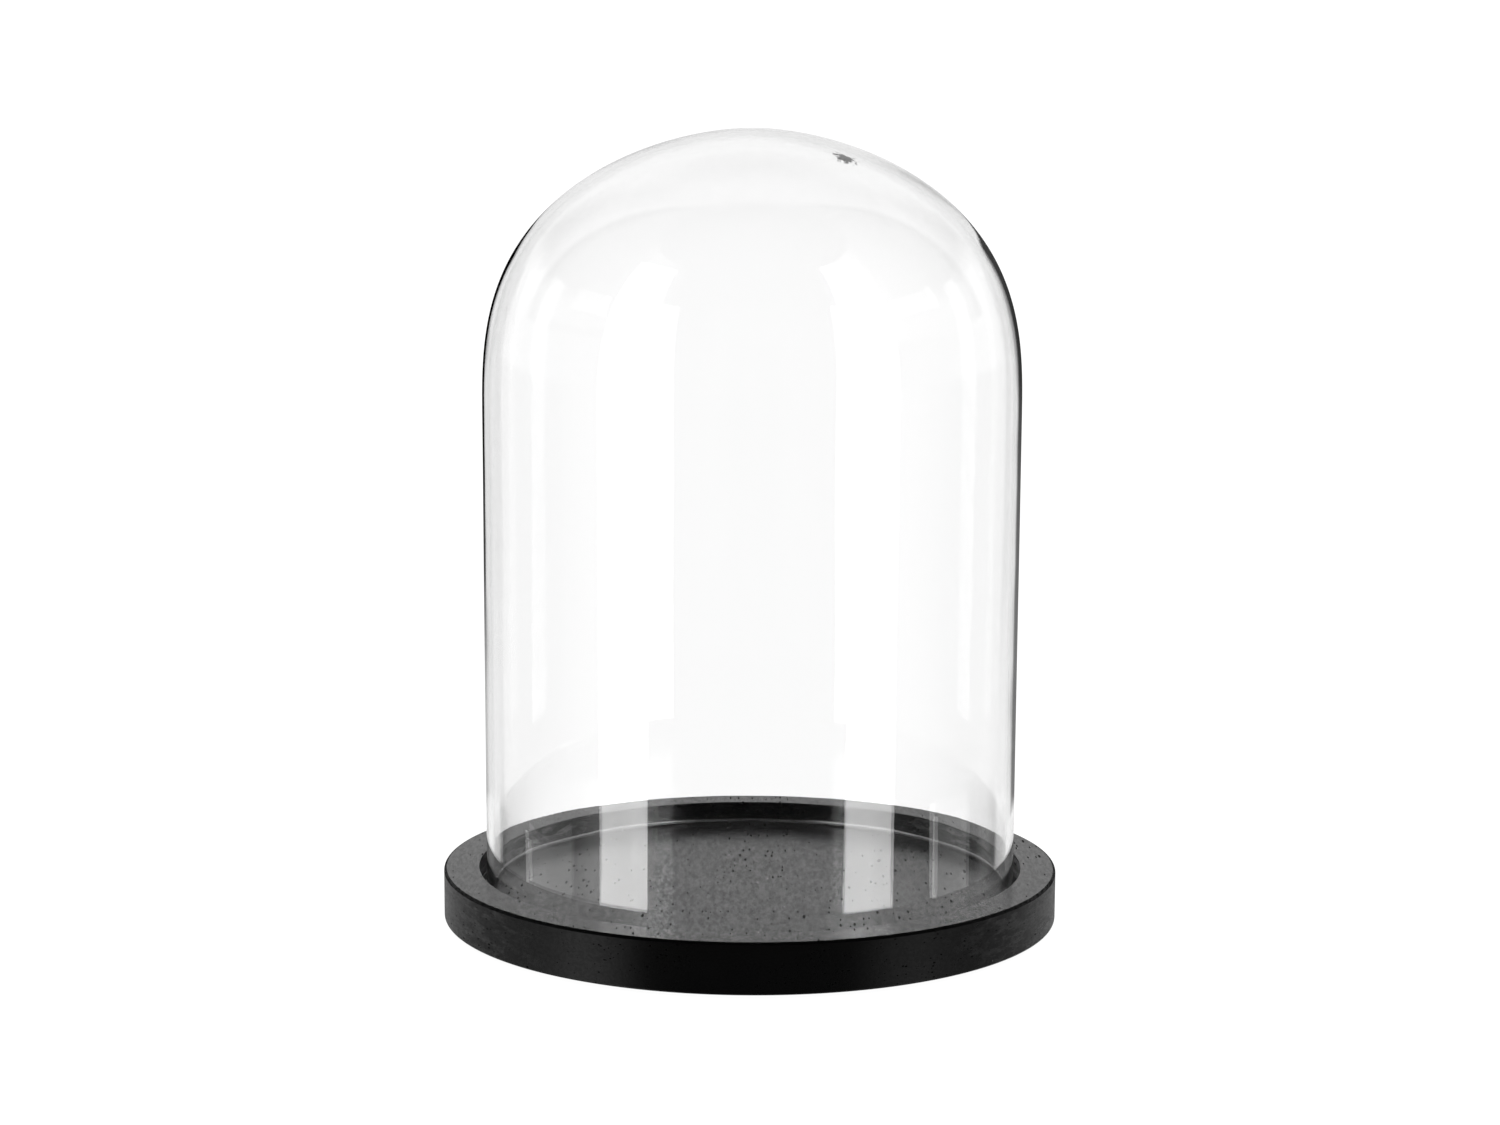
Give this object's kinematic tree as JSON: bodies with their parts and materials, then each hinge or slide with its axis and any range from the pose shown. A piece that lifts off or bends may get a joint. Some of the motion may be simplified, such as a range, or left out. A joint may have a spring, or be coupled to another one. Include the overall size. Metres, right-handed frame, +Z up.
{
  "type": "bell jar dome",
  "caption": "Clear glass bell jar that lifts off a round black wooden base, for showing and covering a small exhibit.",
  "frame": {"origin": "centre of the dome's axis at the surface the felt pads stand on", "axes": "+Z up along the dome's axis; +X to the right, across the grain of the wooden base; -Y towards the front, along the grain"},
  "size_m": [0.235, 0.235, 0.3],
  "materials": {
    "glass": "clear blown glass, polished by fire",
    "wood": "black stain under satin lacquer, fine open grain",
    "felt": "pressed wool felt, matt"
  },
  "bodies": {
    "base": {"wood_base": "wood", "felt_pad_1": "felt", "felt_pad_2": "felt", "felt_pad_3": "felt", "felt_pad_4": "felt"},
    "dome": {"glass_dome": "glass"}
  },
  "joints": [
    {"name": "dome_lift", "type": "slide", "parent": "base", "child": "dome", "axis": [0, 0, 1], "range_m": [0, 0.3]}
  ]
}
